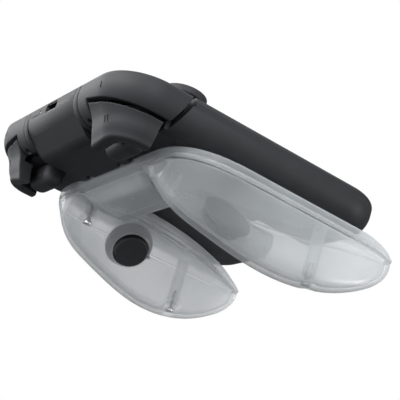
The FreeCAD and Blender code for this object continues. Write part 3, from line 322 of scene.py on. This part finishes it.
def applied(piece):
    """Replace a piece's mesh by what its modifiers make of it."""
    graph = bpy.context.evaluated_depsgraph_get()
    finished = bpy.data.meshes.new_from_object(piece.evaluated_get(graph))
    piece.modifiers.clear()
    piece.data = finished


def add_smooth(piece, name, passes, group=""):
    """Smooth a piece, by the weights of a vertex group if one is named."""
    smooth = piece.modifiers.new(name, "SMOOTH")
    smooth.factor = SMOOTHING
    smooth.iterations = passes
    smooth.vertex_group = group


def softened(node, name, voxel, passes, reshape=None, melt=None):
    """A finely meshed copy of a CAD node whose edges are rounded as moulded edges are.

    reshape moves the mesh's points, and melt gives the share of extra smoothing that each point gets."""
    mesh = NODES[node].data.copy()
    piece = bpy.data.objects.new(name, mesh)
    bpy.context.scene.collection.objects.link(piece)
    remesh = piece.modifiers.new("even_mesh", "REMESH")
    remesh.mode = "VOXEL"
    remesh.voxel_size = voxel
    applied(piece)
    if reshape:
        for vertex in piece.data.vertices:
            vertex.co = reshape(vertex.co)
    if melt:
        group = piece.vertex_groups.new(name="melted")
        for vertex in piece.data.vertices:
            group.add([vertex.index], melt(vertex.co), "REPLACE")
        add_smooth(piece, "melt_joins", MELT_PASSES, group.name)
    add_smooth(piece, "round_edges", passes)
    applied(piece)
    piece.vertex_groups.clear()
    for polygon in piece.data.polygons:
        polygon.use_smooth = True
    dress(piece, MATERIALS[SLOT_OF[node]])
    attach(piece, BODY_OF[node])
    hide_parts(node)
    return piece


def crisp(node, edge_width):
    """Keep a CAD node and break its sharp edges with a small bevel."""
    piece = NODES[node]
    weld = piece.modifiers.new("joined_corners", "WELD")
    weld.merge_threshold = JOINED_WITHIN
    bevel = piece.modifiers.new("broken_edges", "BEVEL")
    bevel.width = edge_width
    bevel.segments = 2
    bevel.limit_method = "ANGLE"
    bevel.angle_limit = SHARP_ANGLE
    bevel.use_clamp_overlap = True
    dress(piece, MATERIALS[SLOT_OF[node]])


def printed_bar(name, host, node, middle, facing):
    """A thin upright bar that lies on its host's surface and rides with it."""
    surface = BVHTree.FromObject(host, bpy.context.evaluated_depsgraph_get())
    upward = (Vector((0, 0, 1)) - facing * facing.z).normalized()
    sideways = facing.cross(upward)
    shape = bmesh.new()
    across, along = BAR_GRID
    bmesh.ops.create_grid(shape, x_segments=across, y_segments=along, size=0.5)
    for vertex in shape.verts:
        fullness = max(BAR_TIP, math.sqrt(max(0.0, 1 - abs(2 * vertex.co.y) ** BAR_ROUNDNESS)))
        offset = sideways * (vertex.co.x * BAR_WIDTH * fullness) + upward * (vertex.co.y * BAR_LENGTH)
        place, normal, _, _ = surface.ray_cast(middle + offset + facing * BAR_REACH, -facing)
        vertex.co = place + normal * BAR_PROUD
    mesh = bpy.data.meshes.new(name)
    shape.to_mesh(mesh)
    shape.free()
    piece = bpy.data.objects.new(name, mesh)
    bpy.context.scene.collection.objects.link(piece)
    depth = piece.modifiers.new("depth", "SOLIDIFY")
    depth.thickness = 2 * BAR_PROUD
    depth.offset = 0
    applied(piece)
    dress(piece, PRINT)
    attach(piece, BODY_OF[node])


def printed_bars(side, part, host, count, shares, facing):
    """Generic bars in place of a letter, side by side on a button."""
    node = f"{side}_{part}"
    turned = Vector((facing[0] * side_sign(side), facing[1], facing[2])).normalized()
    middle = spot(node, side, *shares)
    for index in range(count):
        shift = (index - (count - 1) / 2) * BAR_PITCH
        printed_bar(f"{node}_bar_{index + 1}", host, node, middle + Vector((shift, 0, 0)), turned)


# ---- camera, lights and floor -----------------------------------------------------------------------------

CAMERA_PLACE = Vector((-393.9, 195.1, -134.5)) * MM
CAMERA_LOOK = Vector((0.8324, -0.4255, 0.3551))
CAMERA_ROLL = math.radians(17.2)
CAMERA_LENS = 112.1
SENSOR = 36.0

# Sky: brightest towards SKY_SIDE, and at its darkest from where its cosine to that side is SKY_DARK_AT.
SKY_SIDE = Vector((-0.35, 0.75, 0.55))
SKY_DARK_AT = -0.55
SKY_DARK = 0.20
SKY_BRIGHT = 1.9

FLOOR_HALF = 3.0
FLOOR_HEIGHT = -0.45
OBJECT_MIDDLE = (0, 0, 0.03)


def add_camera():
    """The reference view, from below and behind the left shoulder."""
    camera = bpy.data.cameras.new("camera")
    camera.lens = CAMERA_LENS
    camera.sensor_width = SENSOR
    camera.clip_start = 0.01
    holder = bpy.data.objects.new("camera", camera)
    holder.location = CAMERA_PLACE
    level = CAMERA_LOOK.to_track_quat("-Z", "Y")
    holder.rotation_mode = "QUATERNION"
    holder.rotation_quaternion = level @ Quaternion((0, 0, 1), CAMERA_ROLL)
    bpy.context.scene.collection.objects.link(holder)
    bpy.context.scene.camera = holder


def area_light(name, place, width, height, power):
    """Soft box turned towards a point of the object."""
    light = bpy.data.lights.new(name, "AREA")
    light.shape = "RECTANGLE"
    light.size = width
    light.size_y = height
    light.energy = power
    holder = bpy.data.objects.new(name, light)
    holder.location = place
    holder.rotation_mode = "QUATERNION"
    holder.rotation_quaternion = (Vector(OBJECT_MIDDLE) - Vector(place)).to_track_quat("-Z", "Y")
    bpy.context.scene.collection.objects.link(holder)


def add_surroundings():
    """White seen directly or through clear pieces, and otherwise a soft sky, bright above and dark below."""
    scene = bpy.context.scene
    scene.view_settings.view_transform = "Standard"
    world = bpy.data.worlds.new("studio")
    world.use_nodes = True
    tree = world.node_tree
    seen = tree.nodes["Background"]
    seen.inputs["Color"].default_value = (1, 1, 1, 1)
    where = tree.nodes.new("ShaderNodeTexCoord")
    towards = tree.nodes.new("ShaderNodeVectorMath")
    towards.operation = "DOT_PRODUCT"
    towards.inputs[1].default_value = SKY_SIDE.normalized()
    tree.links.new(where.outputs["Generated"], towards.inputs[0])
    strength = tree.nodes.new("ShaderNodeMapRange")
    strength.interpolation_type = "SMOOTHSTEP"
    strength.inputs["From Min"].default_value = SKY_DARK_AT
    strength.inputs["From Max"].default_value = 1.0
    strength.inputs["To Min"].default_value = SKY_DARK
    strength.inputs["To Max"].default_value = SKY_BRIGHT
    tree.links.new(towards.outputs["Value"], strength.inputs["Value"])
    lit = tree.nodes.new("ShaderNodeBackground")
    lit.inputs["Color"].default_value = (0.94, 0.965, 1.0, 1)
    tree.links.new(strength.outputs["Result"], lit.inputs["Strength"])
    rays = tree.nodes.new("ShaderNodeLightPath")
    clear = tree.nodes.new("ShaderNodeMath")
    clear.operation = "MAXIMUM"
    tree.links.new(rays.outputs["Is Camera Ray"], clear.inputs[0])
    tree.links.new(rays.outputs["Is Transmission Ray"], clear.inputs[1])
    blend = tree.nodes.new("ShaderNodeMixShader")
    tree.links.new(clear.outputs["Value"], blend.inputs["Fac"])
    tree.links.new(lit.outputs["Background"], blend.inputs[1])
    tree.links.new(seen.outputs["Background"], blend.inputs[2])
    tree.links.new(blend.outputs["Shader"], tree.nodes["World Output"].inputs["Surface"])
    scene.world = world


def add_floor():
    """A pale floor far below the hovering object, which throws no light back on to it."""
    ground = bpy.data.meshes.new("floor")
    shape = bmesh.new()
    bmesh.ops.create_grid(shape, x_segments=1, y_segments=1, size=FLOOR_HALF)
    shape.to_mesh(ground)
    shape.free()
    floor = bpy.data.objects.new("floor", ground)
    floor.location.z = FLOOR_HEIGHT
    bpy.context.scene.collection.objects.link(floor)
    pale = grained_plastic("floor_paper", (0.86, 0.86, 0.86), (0.90, 0.90, 0.90), (0.8, 0.9), 60, 0.1 * MM)
    dress(floor, pale)
    floor.visible_diffuse = False
    floor.visible_glossy = False


def add_stage():
    """Surroundings, floor and four soft boxes."""
    add_surroundings()
    add_floor()
    area_light("key", (-0.10, 0.80, 0.40), 0.9, 0.6, 9)
    area_light("side", (-0.9, 0.25, 0.35), 0.3, 0.9, 3.5)
    area_light("low", (-0.60, -0.75, -0.08), 0.5, 0.3, 4)
    area_light("back", (0.85, 0.55, 0.42), 0.9, 0.9, 7)


# ---- assembly ---------------------------------------------------------------------------------------------

def round_tip(place):
    """Draw the handles' ends in towards a round nose, and their top down towards the parting line."""
    reach = share((TIP_START - place.y) / (TIP_START - TIP_END)) ** 2
    outward = share((abs(place.x) - HANDLE_MIDDLE) / (HANDLE_OUTSIDE - HANDLE_MIDDLE))
    moved = place.copy()
    moved.x -= math.copysign(TIP_NARROWING * reach * outward, place.x)
    if place.z > PARTING:
        moved.z = PARTING + (place.z - PARTING) * (1 - TIP_DROP * reach)
    return moved


def join_share(place):
    """Most where the middle of the grip runs into a handle, a little elsewhere, none at the parting line."""
    across = 1 - abs(abs(place.x) - BRIDGE_END) / MELT_REACH
    before = (place.y - BRIDGE_LOW) / MELT_MARGIN + 2
    after = (BRIDGE_HIGH - place.y) / MELT_MARGIN + 2
    below = (PARTING - place.z) / MELT_MARGIN
    return share(max(min(2 * across, before, after, below), min(MELT_ELSEWHERE, below)))


def fill_trigger(place):
    """Flatten the trigger's hollow face, and shorten its lip where the release lever shows below it."""
    moved = place.copy()
    from_corner = Vector((abs(place.x) - CORNER_X, place.y - CORNER_Y, 0))
    if from_corner.length > CORNER_CORE:
        height = share((place.z - FACE_LOW) / (FACE_HIGH - FACE_LOW))
        push = from_corner.normalized() * (FACE_FILL * math.sin(math.pi * height) ** 2)
        moved.x += math.copysign(push.x, place.x)
        moved.y += push.y
    if place.z < LIP_START:
        outward = share((abs(place.x) - LIP_INNER) / LIP_SPAN)
        moved.z += (LIP_START - place.z) * LIP_RAISE * outward
    return moved


# Voxel size, smoothing passes and reshaping of the moulded controls.
SOFT = {
    "shoulder_button": (0.25 * MM, 7, None),
    "trigger": (0.25 * MM, 8, fill_trigger),
    "release_lever": (0.30 * MM, 5, None),
}


def dress_grip():
    """The two frosted shells and the dark covers of the centre housing."""
    softened("grip_back_shell", "back_shell", SHELL_VOXEL, SHELL_PASSES, round_tip, join_share)
    softened("grip_upper_shell", "upper_shell", SHELL_VOXEL, SHELL_PASSES, round_tip)
    for node in ("housing_front_cover", "housing_back_cover"):
        crisp(node, HOUSING_EDGE)


def dress_side(side):
    """The moulded controls of one controller, with their bars, and its two covers."""
    moulded = {}
    for part, (voxel, passes, reshape) in SOFT.items():
        moulded[part] = softened(f"{side}_{part}", f"{side}_{part}_moulded", voxel, passes, reshape)
    printed_bars(side, "shoulder_button", moulded["shoulder_button"], 1, SHOULDER_BAR, SHOULDER_FACING)
    printed_bars(side, "trigger", moulded["trigger"], 2, TRIGGER_BAR, TRIGGER_FACING)
    for part in ("front_cover", "back_cover"):
        crisp(f"{side}_{part}", COVER_EDGE)


def dress_rest():
    """Broken edges and a material for every other CAD node that shows, and steel painted nearly black for the
    port: painted shade for its hollow.
    """
    for node, piece in NODES.items():
        if not piece.hide_render and not piece.modifiers:
            crisp(node, SMALL_EDGE)
    # Painted shade: the port's steel is painted nearly black for its shaded hollow.
    dress(NODES["usb_port"], PORT_STEEL_PAINTED_SHADE)


add_camera()
add_stage()
dress_grip()
for side in SIDES:
    dress_side(side)
dress_rest()
